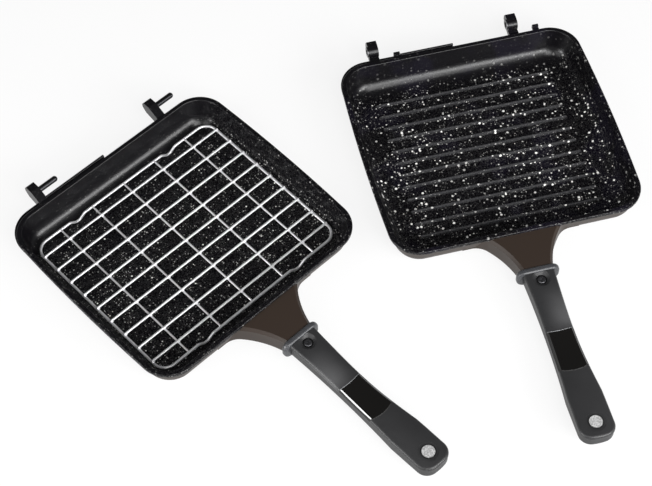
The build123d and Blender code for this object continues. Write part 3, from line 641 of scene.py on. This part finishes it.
# soft lamps: each at a place seen from its aim
softboxes = [
    {"name": "front softbox", "aim": panMiddle, "place": (0.17, -1.6, 0.77),
     "size": (1.4, 0.62), "power": 33},
    {"name": "camera side softbox", "aim": panMiddle, "place": (-0.57, -1.14, 1.41),
     "size": (1.0, 1.0), "power": 22},
    {"name": "left softbox", "aim": panMiddle, "place": (-1.4, 0.1, 1.1),
     "size": (1.2, 1.0), "power": 9},
    {"name": "strip light", "aim": inlaySpot, "place": (-1.45, 0.6, 0.3),
     "size": (0.6, 0.22), "power": 12},
]


def lookingRays(tree):   # 1 for what the camera sees, straight, mirrored or through something clear
    path = addNode(tree, "ShaderNodeLightPath", {})
    either = addNode(tree, "ShaderNodeMath", {"operation": "MAXIMUM"},
                     {0: path.outputs["Is Camera Ray"], 1: path.outputs["Is Glossy Ray"]})
    return addNode(tree, "ShaderNodeMath", {"operation": "MAXIMUM"},
                   {0: either.outputs[0], 1: path.outputs["Is Transmission Ray"]}).outputs[0]


def studioFloor():   # matt white paper that still takes the pan's shadow
    material, tree = startMaterial("white studio floor")
    paper = addNode(tree, "ShaderNodeBsdfDiffuse", {}, {"Color": hexToLinear(studio["floorColour"])})
    glow = addNode(tree, "ShaderNodeEmission", {}, {"Color": (1, 1, 1, 1), "Strength": 1.0})
    share = addNode(tree, "ShaderNodeMath", {"operation": "MULTIPLY"},
                    {0: lookingRays(tree), 1: studio["cameraWhite"]})
    mixed = addNode(tree, "ShaderNodeMixShader", {},
                    {0: share.outputs[0], 1: paper.outputs[0], 2: glow.outputs[0]})
    addNode(tree, "ShaderNodeOutputMaterial", {}, {"Surface": mixed.outputs[0]})
    half = studio["floorHalf"]
    mesh = bpy.data.meshes.new("studio_floor")
    mesh.from_pydata([(-half, -half, 0), (half, -half, 0), (half, half, 0), (-half, half, 0)],
                     [], [(0, 1, 2, 3)])
    mesh.materials.append(material)
    floor = bpy.data.objects.new("studio_floor", mesh)
    bpy.context.scene.collection.objects.link(floor)


def studioRoom():   # a dim room with a white wall low down, for whatever looks past the floor
    world = bpy.data.worlds.new("studio")
    bpy.context.scene.world = world
    world.use_nodes = True
    tree = world.node_tree
    tree.nodes.clear()
    way = addNode(tree, "ShaderNodeTexCoord", {})
    rise = addNode(tree, "ShaderNodeSeparateXYZ", {}, {0: way.outputs["Generated"]}).outputs[2]
    wall = addNode(tree, "ShaderNodeMapRange", smooth, {
        "Value": rise, "From Min": studio["wallTop"], "From Max": studio["wallTop"] + studio["wallFade"],
        "To Min": 1.0, "To Max": 0.0})
    seen = addNode(tree, "ShaderNodeMath", {"operation": "MULTIPLY"},
                   {0: lookingRays(tree), 1: wall.outputs[0]})
    level = addNode(tree, "ShaderNodeMath", {"operation": "MAXIMUM"},
                    {0: seen.outputs[0], 1: studio["surround"]})
    sky = addNode(tree, "ShaderNodeBackground", {}, {"Color": (1, 1, 1, 1), "Strength": level.outputs[0]})
    addNode(tree, "ShaderNodeOutputWorld", {}, {"Surface": sky.outputs[0]})


def towards(place, aim):   # the turn of a lamp or camera at a place that looks at its aim
    return (aim - place).to_track_quat("-Z", "Y")


studioFloor()
studioRoom()
for box in softboxes:
    lamp = bpy.data.lights.new(box["name"], "AREA")
    lamp.shape = "RECTANGLE"
    lamp.size, lamp.size_y = box["size"]
    lamp.energy = box["power"]
    stand = bpy.data.objects.new(box["name"], lamp)
    stand.location = box["aim"] + Vector(box["place"])
    stand.rotation_euler = towards(stand.location, box["aim"]).to_euler()
    bpy.context.scene.collection.objects.link(stand)
print("studio done")

cameraLook = {
    "place": Vector((-0.48082, -0.72076, 1.29531)),
    "aim": Vector((0.09766, -0.08867, 0.0)),
    "roll": np.radians(-1.4225),
    "lens": 90.228,
    "sensor": 36,
    "nearest": 0.01,
}
lens = bpy.data.cameras.new("camera")
lens.lens = cameraLook["lens"]
lens.sensor_width = cameraLook["sensor"]
lens.sensor_fit = "HORIZONTAL"
lens.clip_start = cameraLook["nearest"]
camera = bpy.data.objects.new("camera", lens)
camera.matrix_world = (
    Matrix.Translation(cameraLook["place"])
    @ towards(cameraLook["place"], cameraLook["aim"]).to_matrix().to_4x4()
    @ Matrix.Rotation(cameraLook["roll"], 4, "Z")
)
bpy.context.scene.collection.objects.link(camera)
bpy.context.scene.camera = camera
bpy.context.scene.view_settings.view_transform = "Standard"
print("camera done")
